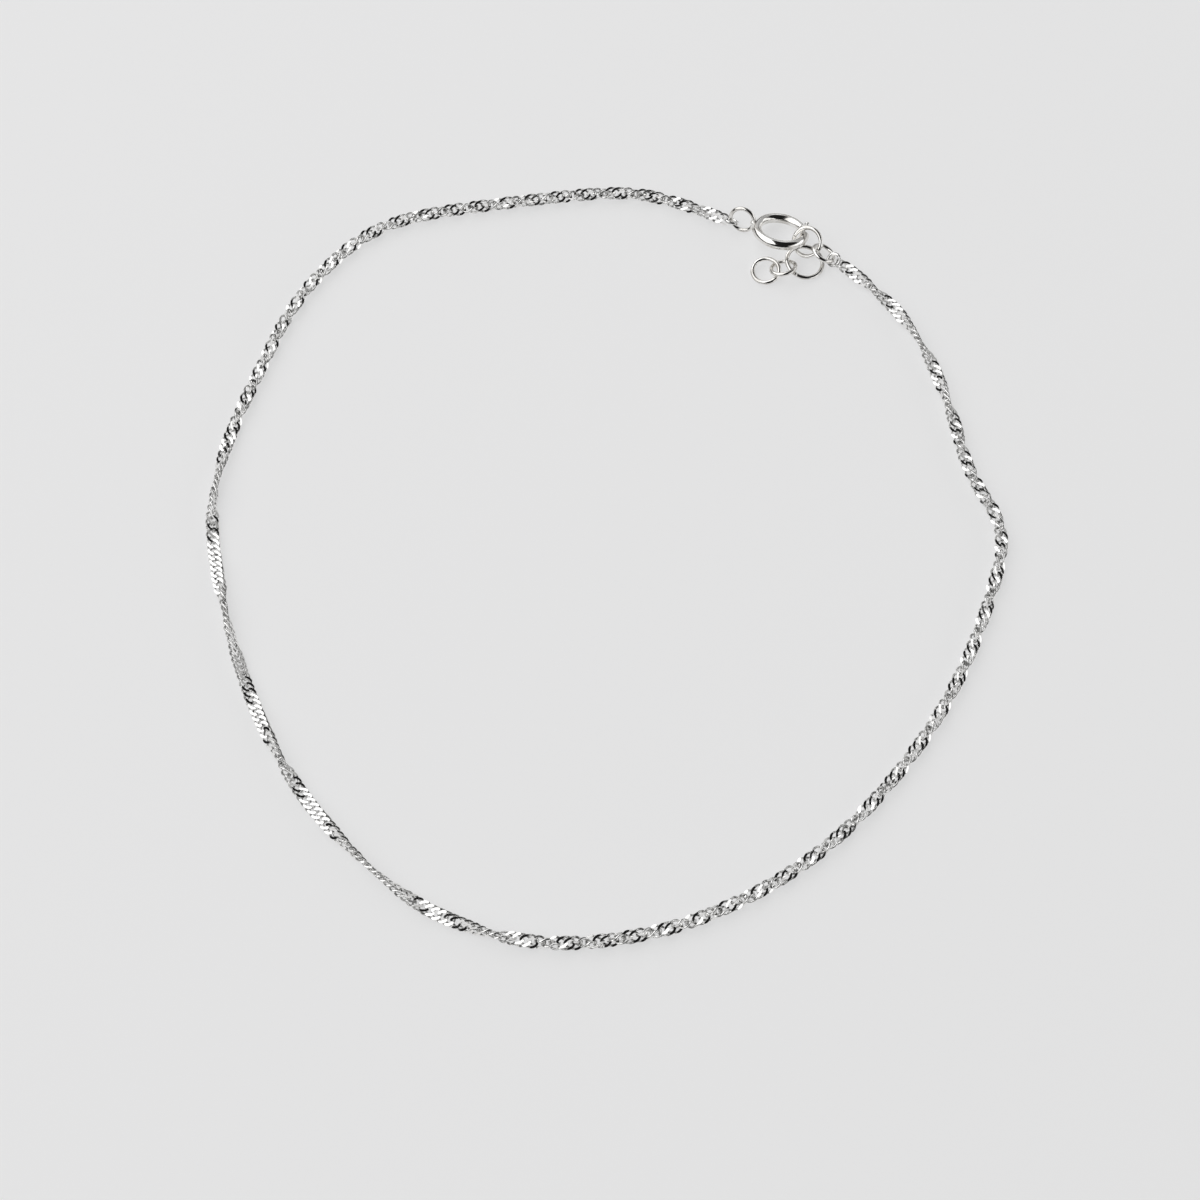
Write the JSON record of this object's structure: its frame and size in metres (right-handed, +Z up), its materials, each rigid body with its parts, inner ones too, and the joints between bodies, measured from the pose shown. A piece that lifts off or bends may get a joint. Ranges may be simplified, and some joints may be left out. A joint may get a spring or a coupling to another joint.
{
  "type": "chain anklet",
  "caption": "Fine silver anklet of twisted flat-cut links, fastened as a loop by a spring ring clasp with a short extender of round rings, laid flat.",
  "frame": {"origin": "middle of the laid loop, on the surface that it lies on", "axes": "+Z up from the surface, +Y along the loop's longer way towards the clasp, +X across the loop"},
  "size_m": [0.0787, 0.0866, 0.0029],
  "materials": {
    "chain_silver": "flat-cut polished silver",
    "clasp_silver": "polished silver",
    "ring_silver": "drawn round silver wire, polished"
  },
  "bodies": {
    "anklet": {"chain": "chain_silver", "clasp_body": "clasp_silver", "chain_ring": "ring_silver", "catch_ring": "ring_silver", "extender_ring_1": "ring_silver", "extender_ring_2": "ring_silver", "extender_ring_3": "ring_silver"},
    "trigger": {"clasp_trigger": "clasp_silver"}
  },
  "joints": [
    {"name": "trigger_pull", "type": "hinge", "parent": "anklet", "child": "trigger", "pos_m": [0.0182, 0.0369, 0.00148], "axis": [0.1281, 0.3171, 0.9397], "range_deg": [0, 37], "stiffness_Nm_per_rad": 0.002, "springref_deg": -20.05}
  ]
}
